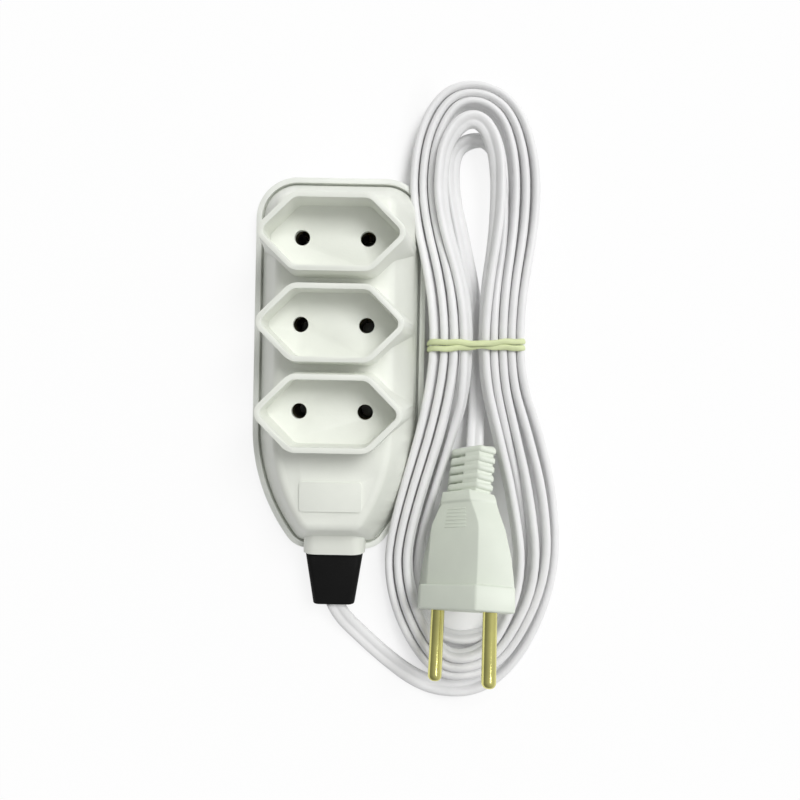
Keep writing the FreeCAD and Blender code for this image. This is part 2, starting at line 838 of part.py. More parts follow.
def make_terminal(name, side):
    """A crimp barrel with a tongue that lies on the strip's end."""
    s = sizes
    body = body_named(name)
    middle = side * pin_offset
    half = s.strip_width / 2 - 0.5
    tongue = outline_sketch(body, "TongueSketch", "XY_Plane", strip_top, [
        line((middle - half, -s.strip_end_bottom - 1), (middle + half, -s.strip_end_bottom - 1)),
        line((middle + half, -s.strip_end_bottom - 1),
             (middle + half, s.tongue_length - s.strip_end_bottom)),
        line((middle + half, s.tongue_length - s.strip_end_bottom),
             (middle - half, s.tongue_length - s.strip_end_bottom)),
        line((middle - half, s.tongue_length - s.strip_end_bottom),
             (middle - half, -s.strip_end_bottom - 1)),
    ])
    pad(body, "Tongue", tongue, s.strip_thickness)
    barrel = sketch_on(body, "BarrelSketch", "XZ_Plane", s.strip_end_bottom + 0.5)
    centre = (middle, strip_top + s.barrel_radius)
    add_circle(barrel, centre, s.barrel_radius)
    pad(body, "Barrel", barrel, s.barrel_length)
    bore = sketch_on(body, "BoreSketch", "XZ_Plane",
                     s.strip_end_bottom + 0.5 + s.barrel_length)
    add_circle(bore, centre, s.barrel_bore_radius)
    pocket(body, "Bore", bore, s.barrel_length - 1)
    return body


# Cords: a flat section with its edges cut, and round cores

def flat_section():
    """Corners of the cord's section about its middle: width along x, thickness along y."""
    half_width = sizes.cord_width.value / 2
    half_thickness = sizes.cord_thickness.value / 2
    flat = half_width - sizes.cord_edge.value
    return [
        (half_width, 0), (flat, half_thickness), (-flat, half_thickness), (-half_width, 0),
        (-flat, -half_thickness), (flat, -half_thickness),
    ]


def face_wire(place, wide, thin, corners):
    points = [place + wide * a + thin * b for a, b in corners]
    return Part.makePolygon(points + [points[0]])


def arc_from(start, tangent, end):
    """The arc that leaves a point along a tangent and ends at another point."""
    chord = end - start
    reach = chord.Length
    toward = vector(chord) / reach
    cosine = max(-1.0, min(1.0, tangent.dot(toward)))
    half_turn = math.acos(cosine)
    if half_turn < 1e-5:
        return Part.LineSegment(start, end), float("inf")
    bisector = tangent + toward
    bisector.normalize()
    middle = start + bisector * (reach / (2 * math.cos(half_turn / 2)))
    return Part.Arc(start, middle, end), reach / (2 * math.sin(half_turn))


def biarc(start, start_way, end, end_way):
    """Two arcs from a point and direction to another, smooth where they meet."""
    across = end - start
    ways = start_way + end_way
    spread = 2 * (1 - start_way.dot(end_way))
    if spread < 1e-9:
        reach = across.dot(across) / (4 * across.dot(end_way))
    else:
        lean = across.dot(ways)
        reach = (-lean + math.sqrt(lean * lean + spread * across.dot(across))) / spread
    joint = (start + end + (start_way - end_way) * reach) / 2
    middle_way = joint - (start + start_way * reach)
    middle_way.normalize()
    return [arc_from(start, start_way, joint), arc_from(joint, middle_way, end)]


def route_path(points):
    """Straight runs joined by tangent arcs as large as their runs allow."""
    edges = []
    radii = []
    begin = points[0]
    for before, corner, after in zip(points, points[1:], points[2:]):
        into = corner - before
        out = after - corner
        shorter = min(into.Length, out.Length)
        turn = into.getAngle(out)
        set_back = 0.45 * shorter
        radii.append(set_back / math.tan(turn / 2))
        into.normalize()
        out.normalize()
        arc_start = corner - into * set_back
        arc_end = corner + out * set_back
        edges.append(Part.LineSegment(begin, arc_start))
        edges.append(arc_from(arc_start, into, arc_end)[0])
        begin = arc_end
    edges.append(Part.LineSegment(begin, points[-1]))
    return edges, radii


def feature_from(name, shape):
    feature = doc.addObject("Part::Feature", name)
    feature.Shape = shape
    feature.Label = name
    return feature


def round_tube(name, points, radius):
    """An insulated core, with eight sides."""
    edges, radii = route_path(points)
    wire = Part.Wire([edge.toShape() for edge in edges])
    way = points[1] - points[0]
    way.normalize()
    side = way.cross(vector(0, 1, 0) if abs(way.y) < 0.5 else vector(0, 0, 1))
    side.normalize()
    turns = [math.pi / 4 * corner for corner in range(8)]
    ring = face_wire(points[0], side, way.cross(side),
                     [(radius * math.cos(turn), radius * math.sin(turn)) for turn in turns])
    tube = wire.makePipeShell([ring], True, False)
    expected = Part.Face(ring).Area * wire.Length
    print(f"{name}: length {wire.Length:.1f}, volume share {tube.Volume / expected:.4f},"
          f" radii {min(radii):.1f} to {max(radii):.1f}")
    return feature_from(name, tube)


def twisted_cord(name, points, rolls, step=6):
    """The flat cord along a route, rolled about its own line from one angle to the next.

    A roll of 0 lays the wide side level and 90 stands it on edge.
    """
    edges, radii = route_path(points)
    wire = Part.Wire([edge.toShape() for edge in edges])
    total = wire.Length
    places = []
    travelled = 0
    for curve in edges:
        edge = curve.toShape()
        parts = max(1, round(edge.Length / step))
        for number in range(parts):
            along = edge.Length * number / parts
            at = edge.getParameterByLength(along)
            places.append((travelled + along, edge.valueAt(at), edge.tangentAt(at)))
        travelled += edge.Length
    last_way = points[-1] - points[-2]
    last_way.normalize()
    places.append((total, points[-1], last_way))
    rings = []
    for along, place, way in places:
        share = along / total
        for (low, roll_low), (high, roll_high) in zip(rolls, rolls[1:]):
            if low <= share <= high + 1e-9:
                roll = roll_low + (roll_high - roll_low) * (share - low) / (high - low)
                break
        level = vector(0, 0, 1).cross(way)
        level.normalize()
        rise = way.cross(level)
        turn = math.radians(roll)
        wide = level * math.cos(turn) + rise * math.sin(turn)
        thin = rise * math.cos(turn) - level * math.sin(turn)
        rings.append(face_wire(place, wide, thin, flat_section()))
    cord = Part.makeLoft(rings, True, True)
    area = Part.Face(rings[0]).Area
    print(f"{name}: length {total:.1f}, volume share {cord.Volume / (area * total):.4f},"
          f" radii {min(radii):.1f} to {max(radii):.1f}")
    return feature_from(name, cord)


def straight_cord(name, start, end, wide):
    """A straight piece of the flat cord."""
    way = end - start
    direction = vector(way)
    direction.normalize()
    thin = direction.cross(wide)
    ring = Part.Face(face_wire(start, wide, thin, flat_section()))
    return feature_from(name, ring.extrude(way))


boot_end = collar_end.value + 0.2 + sizes.boot_length.value
entry_z = sizes.entry_height.value


def make_entry_cord():
    start = vector(0, -boot_end, entry_z)
    end = vector(0, -sizes.sheath_end.value, entry_z)
    return straight_cord("entry_cord", start, end, vector(1, 0, 0))


def make_core(name, side):
    s = sizes
    sheath = -s.sheath_end.value
    mouth = -(s.strip_end_bottom.value + 0.5 + s.barrel_length.value)
    x = side * pin_offset.value
    z = strip_top.value + s.barrel_radius.value
    start_x = side * s.core_spacing.value / 2
    points = [
        vector(start_x, sheath, entry_z),
        vector(start_x + side * 0.4, sheath + 2, entry_z + 0.3),
        vector((start_x + x) / 2, (sheath + mouth) / 2 - 0.4, (entry_z + z) / 2 + 0.5),
        vector(x - side * 0.2, mouth - 1.2, z),
        vector(x, mouth + 2.5, z),
    ]
    return round_tube(name, points, s.core_radius.value)


# The hank: stations round one loop, each with where the outermost pass goes and how far
# further in each pass after it lies

lower_z = sizes.cord_width.value / 2
upper_z = lower_z + sizes.cord_width.value + sizes.layer_gap.value
band_lift = sizes.band_thickness.value + 0.1
waist = sizes.waist_y.value


def heading(degrees):
    """A level direction, by its angle clockwise from +Y."""
    turn = math.radians(degrees)
    return vector(math.sin(turn), math.cos(turn), 0)


NORTH = heading(0)
EAST = heading(90)
SOUTH = heading(180)
WEST = heading(270)

hank_start = vector(36, -102.5, lower_z)
band_left = 29.75
band_right = 55


def upper_pass(number):
    """One loop of the upper layer, from its lower right side round to its lower left side."""
    z = upper_z
    first_z = lower_z if number == 0 else z
    stations = [
        (vector(69 - 3.1 * number, -60.4, first_z), NORTH),
        (vector(band_right - 3.3 * number, waist, z + band_lift), NORTH),
        (vector(60.2 - 3.2 * number, 57.5, z), NORTH),
        (vector(40.5, 86.4 - 3.6 * number, z), WEST),
        (vector(23.7 + 3.05 * number, 59.5, z), heading(176)),
        (vector(band_left + 3.1 * number, waist, z + band_lift), SOUTH),
    ]
    if number < 3:
        stations += [
            (vector(17.8 + 2.95 * number, -70.5, z), SOUTH),
            (vector(38.4, -96.4 + 2.95 * number, z), EAST),
        ]
    return stations


def lower_pass():
    """The last loop, which lies under the others and further in."""
    z = lower_z
    return [
        (vector(26.7, -70.5, z), SOUTH),
        (vector(40.5, -86.2, z), EAST),
        (vector(57.3, -60.4, z), NORTH),
        (vector(50, waist, z + band_lift), NORTH),
        (vector(48.2, 57.5, z), NORTH),
        (vector(42, 71.2, z), WEST),
        (vector(35.5, 56.5, z), SOUTH),
        (vector(45.1, waist, z + band_lift), SOUTH),
    ]


def hank_stations():
    stations = [(hank_start, EAST)]
    for number in range(4):
        stations += upper_pass(number)
    return stations + lower_pass()


def least_gap(edges):
    """The least room between two stretches of the cord, section to section."""
    half_width = sizes.cord_width.value / 2
    half_thickness = sizes.cord_thickness.value / 2
    samples = []
    travelled = 0
    for edge in edges:
        count = max(2, int(edge.Length / 3))
        for number in range(count):
            at = edge.getParameterByLength(edge.Length * number / count)
            samples.append((travelled + edge.Length * number / count, edge.valueAt(at),
                            edge.tangentAt(at)))
        travelled += edge.Length
    least = 1e9
    for index, (along, place, way) in enumerate(samples):
        for other_along, other, other_way in samples[index + 1:]:
            if other_along - along < 30:
                continue
            apart = other - place
            if abs(apart.x) > 8 or abs(apart.y) > 8:
                continue
            level = vector(-way.y, way.x, 0)
            level.normalize()
            ahead = vector(level.y, -level.x, 0)
            if abs(apart.dot(ahead)) > 2.5:
                continue
            sideways = abs(apart.dot(level)) - 2 * half_thickness
            upwards = abs(apart.z) - 2 * half_width
            least = min(least, max(sideways, upwards))
    return least


def make_hank():
    stations = hank_stations()
    edges = []
    radii = []
    for (start, start_way), (end, end_way) in zip(stations, stations[1:]):
        for curve, radius in biarc(start, start_way, end, end_way):
            edges.append(curve.toShape())
            radii.append(radius)
    wire = Part.Wire(edges)
    start, way = stations[0]
    ring = face_wire(start, vector(0, 0, 1), way.cross(vector(0, 0, 1)), flat_section())
    hank = wire.makePipeShell([ring], True, False)
    area = Part.Face(ring).Area
    print(f"cord_hank: length {wire.Length:.0f}, volume share"
          f" {hank.Volume / (area * wire.Length):.4f}, least radius {min(radii):.1f},"
          f" least gap {least_gap(wire.OrderedEdges):.2f}")
    return feature_from("cord_hank", hank)


def make_cord_lead():
    """From the boot down to the table, round under the hank and into its outermost pass."""
    points = [
        vector(0, -boot_end, entry_z),
        vector(0.7, -boot_end - 5, entry_z - 0.9),
        vector(3.2, -boot_end - 10.8, 2.4),
        vector(8.5, -boot_end - 17.6, 1.9),
        vector(16.5, -boot_end - 23.6, 2.6),
        vector(26.5, -boot_end - 27.8, lower_z + 0.1),
        hank_start,
    ]
    return twisted_cord("cord_lead", points, [(0, 0), (0.45, 0), (1, 90)])


# The plug's own frame: face at 0, pins towards +Z, cord towards -Z, flats towards +Y and -Y

plug_turn = (
    FreeCAD.Rotation(vector(0, 0, 1), -sizes.plug_yaw.value)
    .multiply(FreeCAD.Rotation(vector(1, 0, 0), 90 - sizes.plug_pitch.value))
    .multiply(FreeCAD.Rotation(vector(0, 0, 1), sizes.plug_roll.value))
)
plug_place = FreeCAD.Placement(
    vector(sizes.plug_x.value, -sizes.plug_south.value, sizes.plug_z.value), plug_turn)

flange_back = sizes.flange_length
grip_back = flange_back + sizes.grip_length
waist_back = grip_back + sizes.waist_length
notch_back = waist_back + sizes.notch_length
shoulder_back = notch_back + sizes.shoulder_length
relief_back = shoulder_back + sizes.relief_length


def plug_ring(body, name, back, apex, half_height, inset=0):
    inset = as_size(inset)
    return outline_sketch(body, name, "XY_Plane", -back, sharp_hexagon(
        apex - inset / HALF_ROOT * 0.8, half_height - inset, as_size(0)))


def relief_ring(body, name, share, inset=0):
    """The strain relief's outline at a share of its length, less an inset."""
    s = sizes
    width = s.relief_half_width + (s.relief_tip_half_width - s.relief_half_width) * share - inset
    height = (s.relief_half_height
              + (s.relief_tip_half_height - s.relief_half_height) * share - inset)
    offset = -(shoulder_back + s.relief_length * share)
    return outline_sketch(body, name, "XY_Plane", offset,
                          box_outline(width, -height, height, height * 0.6))


def make_plug_body():
    s = sizes
    body = body_named("plug_body")
    flange = outline_sketch(body, "FlangeSketch", "XY_Plane", 0, hexagon_outline(
        s.plug_apex, s.plug_half_height, s.plug_corner, s.plug_corner))
    pad(body, "Flange", flange, s.flange_length, reverse=True)
    rings = [
        plug_ring(body, "GripFront", flange_back - 0.1, s.plug_apex, s.plug_half_height,
                  s.flange_step),
        plug_ring(body, "GripBack", grip_back, s.grip_apex, s.grip_half_height),
        plug_ring(body, "WaistBack", waist_back, s.waist_apex, s.waist_half_height),
    ]
    loft(body, "Grip", rings)
    neck = [
        plug_ring(body, "NotchFront", waist_back - 0.1, s.waist_apex, s.waist_half_height,
                  s.notch_depth),
        plug_ring(body, "NotchBack", notch_back, s.waist_apex, s.waist_half_height,
                  s.notch_depth),
        plug_ring(body, "ShoulderBack", shoulder_back, s.shoulder_apex, s.shoulder_half_height),
    ]
    loft(body, "Shoulder", neck)
    core = [relief_ring(body, "ReliefFront", 0, s.relief_core_inset),
            relief_ring(body, "ReliefBack", 1, s.relief_core_inset)]
    loft(body, "ReliefCore", core)
    for number in range(int(s.rib_count.value)):
        share = (s.rib_pitch * number + s.rib_pitch - s.rib_length) / s.relief_length
        rib = relief_ring(body, f"RibSketch{number}", share)
        pad(body, f"Rib{number}", rib, s.rib_length, reverse=True)
    gap = s.bridge_gap
    cavity = outline_sketch(body, "CavitySketch", "XY_Plane", -s.plug_face_wall, sharp_hexagon(
        s.bridge_apex + 2 * gap, s.bridge_half_height + gap, as_size(0)))
    pocket(body, "BridgeCavity", cavity, s.bridge_length + gap)
    crimp_end = s.plug_pin_root + s.plug_crimp_length
    back = [
        outline_sketch(body, "CrimpFront", "XY_Plane", -(s.plug_face_wall + s.bridge_length),
                       sharp_hexagon(s.bridge_apex - 0.4, s.bridge_half_height - 0.6,
                                     as_size(0))),
        outline_sketch(body, "CrimpBack", "XY_Plane", -crimp_end,
                       sharp_hexagon(s.bridge_apex - 1.2, s.bridge_half_height - 0.8,
                                     as_size(0))),
        outline_sketch(body, "CoreBack", "XY_Plane", -(s.plug_sheath_end + 0.5),
                       sharp_hexagon(s.cord_width / 2 + 2, s.cord_thickness / 2 + 0.3,
                                     as_size(0))),
    ]
    loft(body, "CrimpCavity", back, cut=True)
    pin_ways = sketch_on(body, "PinWaySketch", "XY_Plane", 0)
    for side in (1, -1):
        add_circle(pin_ways, (side * pin_offset, 0), s.plug_pin_root_radius + 0.05)
    pocket(body, "PinWays", pin_ways, s.plug_face_wall + 0.5)
    cord_way = outline_sketch(body, "CordWaySketch", "XY_Plane", -relief_back, box_outline(
        s.cord_width / 2 + gap, -(s.cord_thickness / 2 + gap), s.cord_thickness / 2 + gap,
        as_size(0.9)))
    pocket(body, "CordWay", cord_way, relief_back - s.plug_sheath_end, reverse=True)
    return body


def make_plug_bridge():
    s = sizes
    body = body_named("plug_bridge")
    block = outline_sketch(body, "BridgeSketch", "XY_Plane", -s.plug_face_wall, sharp_hexagon(
        s.bridge_apex, s.bridge_half_height, as_size(0)))
    pad(body, "Bridge", block, s.bridge_length, reverse=True)
    ways = sketch_on(body, "BridgeWaySketch", "XY_Plane", -s.plug_face_wall)
    for side in (1, -1):
        add_circle(ways, (side * pin_offset, 0), s.plug_pin_root_radius + 0.05)
    pocket(body, "BridgeWays", ways, s.bridge_length)
    return body


def make_plug_pin(name, side):
    """A brass pin with a round tip, turned about its own axis."""
    s = sizes
    body = body_named(name)
    radius = s.plug_pin_radius
    tip = radius * 0.8
    shoulder = s.plug_pin_root_radius
    outline = outline_sketch(body, "PinSketch", "XZ_Plane", 0, [
        line((0, -s.plug_pin_root), (shoulder, -s.plug_pin_root)),
        line((shoulder, -s.plug_pin_root), (shoulder, as_size(0))),
        line((shoulder, as_size(0)), (radius, as_size(0))),
        line((radius, as_size(0)), (radius, s.plug_pin_length - tip)),
        arc((radius, s.plug_pin_length - tip), (radius - tip, s.plug_pin_length), tip),
        line((radius - tip, s.plug_pin_length), (0, s.plug_pin_length)),
        line((0, s.plug_pin_length), (0, -s.plug_pin_root)),
    ])
    revolve(body, "Pin", outline)
    return body, side


def make_plug_crimp(name, side):
    s = sizes
    body = body_named(name)
    ring = sketch_on(body, "CrimpSketch", "XY_Plane", -s.plug_pin_root)
    add_circle(ring, (0, 0), s.plug_crimp_radius)
    pad(body, "Crimp", ring, s.plug_crimp_length, reverse=True)
    bore = sketch_on(body, "CrimpBoreSketch", "XY_Plane",
                     -(s.plug_pin_root + s.plug_crimp_length))
    add_circle(bore, (0, 0), s.barrel_bore_radius)
    pocket(body, "CrimpBore", bore, s.plug_crimp_length - 1, reverse=True)
    return body, side


def place_on_plug(thing, side=0):
    """Put a piece made in the plug's frame where the plug lies, shifted to one pin's axis."""
    shift = FreeCAD.Placement(vector(side * pin_offset.value, 0, 0), FreeCAD.Rotation())
    thing.Placement = plug_place.multiply(shift)
    return thing


def make_plug_core(name, side):
    s = sizes
    back = -(s.plug_pin_root.value + s.plug_crimp_length.value)
    sheath = -s.plug_sheath_end.value
    x = side * pin_offset.value
    start_x = side * s.core_spacing.value / 2
    points = [
        vector(x, 0, back + 3),
        vector(x - side * 0.3, 0, back - 0.4),
        vector((x + start_x) / 2, 0, (back + sheath) / 2 + 0.1),
        vector(start_x + side * 0.4, 0, sheath + 1),
        vector(start_x, 0, sheath),
    ]
    return place_on_plug(round_tube(name, points, s.core_radius.value))


def make_plug_entry_cord():
    start = vector(0, 0, -sizes.plug_sheath_end.value)
    end = vector(0, 0, -relief_back.value)
    return place_on_plug(straight_cord("plug_entry_cord", start, end, vector(1, 0, 0)))


def make_plug_lead():
    """From the band at the waist down to the plug's strain relief."""
    end = plug_place.multVec(vector(0, 0, -relief_back.value))
    inward = plug_turn.multVec(vector(0, 0, -1))
    start = hank_stations()[-1][0]
    points = [
        start,
        start + vector(-0.4, -7, -0.6),
        vector(44, -9.5, lower_z + 0.1),
        end + inward * 7 + vector(0.6, 0, 0),
        end,
    ]
    return twisted_cord("plug_lead", points, [(0, 90), (0.4, 90), (1, 135)], 4)


def make_band():
    """A flat elastic band round the hank's waist."""
    s = sizes
    left = band_left - s.cord_thickness.value / 2 - s.band_gap.value
    right = band_right + s.cord_thickness.value / 2 + s.band_gap.value
    low = s.band_thickness.value
    high = upper_z + band_lift + s.cord_width.value / 2 + s.band_gap.value
    body = body_named("rubber_band")
    middle = (left + right) / 2
    ring = sketch_on(body, "BandSketch", "XZ_Plane", s.band_width / 2)
    half = (right - left) / 2
    thick = s.band_thickness
    add_outline(ring, box_outline(half + thick, as_size(0), high + thick, thick + 2))
    add_outline(ring, box_outline(as_size(half), as_size(low), as_size(high), as_size(2)))
    pad(body, "Band", ring, s.band_width, reverse=True)
    body.Placement.Base = vector(middle, waist, 0)
    return body


pieces = [
    make_base_shell(),
    make_upper_shell(),
    make_bus_strip("live_bus_strip", 1),
    make_bus_strip("neutral_bus_strip", -1),
]
for number in range(int(sizes.outlet_count.value)):
    pieces.append(make_contact(f"live_contact_{number + 1}", 1, number))
    pieces.append(make_contact(f"neutral_contact_{number + 1}", -1, number))
pieces += [
    make_shell_screws(),
    make_cord_clamp(),
    make_clamp_screws(),
    make_boot(),
    make_terminal("live_terminal", 1),
    make_terminal("neutral_terminal", -1),
    make_core("live_core", 1),
    make_core("neutral_core", -1),
    make_entry_cord(),
    make_cord_lead(),
    make_hank(),
    make_plug_lead(),
    place_on_plug(make_plug_body()),
    place_on_plug(make_plug_bridge()),
    place_on_plug(*make_plug_pin("plug_pin_left", -1)),
    place_on_plug(*make_plug_pin("plug_pin_right", 1)),
    place_on_plug(*make_plug_crimp("plug_crimp_left", -1)),
    place_on_plug(*make_plug_crimp("plug_crimp_right", 1)),
    make_plug_core("plug_core_left", -1),
    make_plug_core("plug_core_right", 1),
    make_plug_entry_cord(),
    make_band(),
]

doc.recompute()

failed = [thing.Name for thing in doc.Objects
          if "Invalid" in thing.State or "Error" in thing.State]
failed += [piece.Label for piece in pieces if piece.Shape.isNull() or not piece.Shape.isValid()]
if failed:
    raise RuntimeError(f"failed or invalid: {failed}")

os.makedirs("parts", exist_ok=True)
for piece in pieces:
    print(f"{piece.Label}: solids {len(piece.Shape.Solids)}, volume {piece.Shape.Volume:.1f}")
    piece.Shape.exportStep(f"parts/{piece.Label}.step")
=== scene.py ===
import math

import bmesh
import bpy
from mathutils import Matrix, Vector


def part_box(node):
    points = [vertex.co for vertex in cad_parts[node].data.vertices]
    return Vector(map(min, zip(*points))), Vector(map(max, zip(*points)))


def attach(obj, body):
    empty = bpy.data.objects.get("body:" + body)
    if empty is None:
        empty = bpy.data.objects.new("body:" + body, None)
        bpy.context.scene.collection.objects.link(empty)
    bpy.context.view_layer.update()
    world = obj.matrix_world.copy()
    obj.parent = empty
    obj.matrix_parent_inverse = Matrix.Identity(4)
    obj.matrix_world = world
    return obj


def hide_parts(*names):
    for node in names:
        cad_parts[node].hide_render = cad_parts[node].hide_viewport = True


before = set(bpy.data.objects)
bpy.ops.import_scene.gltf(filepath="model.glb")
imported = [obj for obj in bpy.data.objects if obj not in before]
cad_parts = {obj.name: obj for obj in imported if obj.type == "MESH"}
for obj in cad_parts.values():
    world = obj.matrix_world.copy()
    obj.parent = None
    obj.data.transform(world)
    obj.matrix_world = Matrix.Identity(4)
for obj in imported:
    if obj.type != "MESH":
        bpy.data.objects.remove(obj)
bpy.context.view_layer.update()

# Metres, in the model's own frame: origin under the middle of the socket block, +X right,
# +Y towards the block's end without the cord, +Z up out of the sockets.

MM = 0.001


# Camera, straight above the middle of the group

CAMERA_PLACE = (0.02073, -0.00145, 0.2088)
CAMERA_TURN = 1.1
CAMERA_LENS = 29.25
CAMERA_SHIFT = (-0.00625, -0.03875)


def make_camera():
    data = bpy.data.cameras.new("camera")
    data.lens = CAMERA_LENS
    data.shift_x, data.shift_y = CAMERA_SHIFT
    data.clip_start = 0.01
    camera = bpy.data.objects.new("camera", data)
    camera.location = CAMERA_PLACE
    camera.rotation_euler = (0, 0, math.radians(CAMERA_TURN))
    bpy.context.scene.collection.objects.link(camera)
    bpy.context.scene.camera = camera


make_camera()


# The cord: one flat twin cord from the boot through the hank to the plug

CORD_WIDTH = 5.4
CORD_THICKNESS = 2.4
CORD_GROOVE = 0.3
GROOVE_HALF = 0.35

# Heights of its middle: on the table, on top of another strand, under the band, in the far loop

LOW = CORD_WIDTH / 2
HIGH = LOW + CORD_WIDTH + 0.5
WAIST = HIGH + 0.9
TOP = 4.4

# How far, in degrees, it leans over from standing on edge where its line doesn't say, and the run
# from the boot, in metres, over which it turns from lying flat to standing

LEAN = 14
STANDS_UP = (0.022, 0.075)
STEPS_PER_LEG = 6

# Control points of its line in millimetres, and a lean as fourth number. The hank has four loops
# on top, each inside the last, and one below.

lead_route = [
    (0, -74.4, 5.5, 0),
    (1.8, -78.5, 5, 0),
    (8, -85.7, 1.9, 0),
    (15.5, -92.6, 1.3, 0),
    (25, -99.4, 1.8, 0),
    (34, -102.3, 2.4, 5),
    (45, -101.8, LOW),
    (55.5, -95, LOW),
    (64, -80.5, LOW),
]

upper_loops = [
    [
        (69.2, -62, LOW), (67.8, -40, LOW), (62.6, -21, LOW + 3), (55.3, -3, WAIST),
        (55.3, 20, WAIST), (60.4, 44.5, TOP), (60.4, 63.8, TOP), (55.2, 80.2, TOP),
        (46, 87.3, TOP), (34.3, 87.3, TOP), (26.9, 79.7, TOP), (22.9, 66.4, TOP),
        (22.6, 49, TOP), (29.9, 20, WAIST, 28), (29.9, -8, WAIST, 28),
        (17.2, -52, HIGH - 2), (17.2, -68, HIGH - 2), (22.5, -82.5, HIGH - 1),
        (32, -94.9, HIGH - 1), (44.5, -95, HIGH - 1), (55.3, -87.2, HIGH - 1),
    ],
    [
        (65.4, -64, HIGH), (63.3, -39, HIGH, 30), (58.2, -20, HIGH, 20), (52.7, -3, WAIST),
        (52.7, 20, WAIST), (57.2, 44.5, TOP), (57.2, 63.8, TOP), (52.8, 78.6, TOP),
        (45.1, 84.8, TOP), (35.5, 84.8, TOP), (29.5, 78.2, TOP), (25.7, 66.1, TOP),
        (25.5, 49, TOP), (32.9, 20, WAIST), (32.9, -8, WAIST),
        (19.95, -52, HIGH - 1), (19.95, -67, HIGH - 1), (24.9, -80.8, HIGH),
        (33.2, -92.2, HIGH), (43.8, -92.2, HIGH), (53, -85.4, HIGH),
    ],
    [
        (62.6, -64.5, HIGH), (59.4, -39, HIGH), (54.6, -20, HIGH), (50.1, -3, WAIST),
        (50.1, 20, WAIST), (54, 44.5, TOP), (54, 63.8, TOP), (50.4, 76.8, TOP),
        (44.1, 82.3, TOP), (36.7, 82.3, TOP), (31.9, 76.6, TOP), (28.35, 65.9, TOP),
        (28.15, 49, TOP), (36, 20, WAIST), (36, -8, WAIST),
        (22.7, -52, HIGH), (22.7, -66.5, HIGH), (27.2, -79, HIGH), (34.4, -89.5, HIGH),
        (43.2, -89.5, HIGH), (50.7, -83.6, HIGH),
    ],
    [
        (58.2, -64, HIGH), (54.2, -39, HIGH), (49.3, -20, HIGH), (44.8, -3, WAIST),
        (44.8, 20, WAIST), (48.3, 44, HIGH, 25), (48.4, 62.5, HIGH, 45),
        (45.8, 71.5, HIGH, 60), (42.4, 75.8, HIGH, 75), (38, 75.8, HIGH, 75),
        (33.6, 71.4, HIGH, 60), (30.8, 63.5, HIGH, 45), (30.8, 47, HIGH, 45),
        (39.5, 20, WAIST, 40), (39.5, -8, WAIST, 35), (36.1, -21, 5.6, 20),
        (31.2, -38, LOW + 0.6),
    ],
]

lower_loop = [
    (26.2, -56, LOW), (26, -74, LOW), (33, -86.2, LOW), (47, -86.2, LOW), (57.6, -78, LOW),
    (60.4, -63, LOW), (56.8, -39, LOW + 3), (51.9, -20, HIGH - 1), (47.4, -3, WAIST),
    (47.4, 20, WAIST - 1), (51, 40, LOW + 0.6), (50.5, 60, LOW), (46.5, 71.4, LOW, 10),
    (39.2, 71.4, LOW, 20), (34.5, 67, LOW - 0.4, 45), (34.5, 55, LOW - 0.4, 60),
    (37.8, 41, LOW - 0.4, 60), (41.8, 22, LOW, 70), (43.1, 8, 2.9, 88),
]

plug_route = [
    (43.5, -4, 2.9, 90),
    (43.6, -13, 3, 90),
    (43.3, -20, 3.9, 90),
    (42.9, -27.2, 6.6, 100),
]

route = lead_route + [point for loop in upper_loops for point in loop] + lower_loop + plug_route


def curve_points(name, control, steps):
    """Points along a smooth open spline through a route's control points."""
    data = bpy.data.curves.new(name, "CURVE")
    data.dimensions = "3D"
    data.resolution_u = steps
    spline = data.splines.new("NURBS")
    spline.points.add(len(control) - 1)
    for point, place in zip(spline.points, control):
        point.co = (*(Vector(place[:3]) * MM), 1)
    spline.order_u = 3
    spline.use_endpoint_u = True
    carrier = bpy.data.objects.new(name, data)
    mesh = bpy.data.meshes.new_from_object(carrier)
    points = [vertex.co.copy() for vertex in mesh.vertices]
    bpy.data.objects.remove(carrier)
    bpy.data.meshes.remove(mesh)
    return points


def tangents(points, closed=False):
    """The line's direction at each of its points."""
    found = []
    last = len(points) - 1
    for i, point in enumerate(points):
        before = points[i - 1] if i > 0 or closed else point
        after = points[(i + 1) % len(points)] if i < last or closed else point
        found.append((after - before).normalized())
    return found


def lengths_along(points):
    """How far along its line each point lies."""
    total = [0.0]
    for before, after in zip(points, points[1:]):
        total.append(total[-1] + (after - before).length)
    return total


def ramp(value, low, high):
    """An eased rise from nought at a low value to one at a high value."""
    share = min(1, max(0, (value - low) / (high - low)))
    return share * share * (3 - 2 * share)


def twin_section(width, thickness, groove, per_lobe=7):
    """Outline of a flat twin cord's section: two round edges and a groove on each flat."""
    radius = thickness / 2
    reach = width / 2 - radius
    outline = []
    for side in (1, -1):
        for k in range(per_lobe):
            turn = math.pi * (0.5 - k / (per_lobe - 1)) * side
            outline.append((side * reach + side * radius * math.cos(turn),
                            side * radius * math.sin(turn) * side))
        edge = -side * (radius - groove * 0.35)
        outline.append((side * GROOVE_HALF, edge))
        outline.append((0, -side * (radius - groove)))
        outline.append((-side * GROOVE_HALF, edge))
    return outline


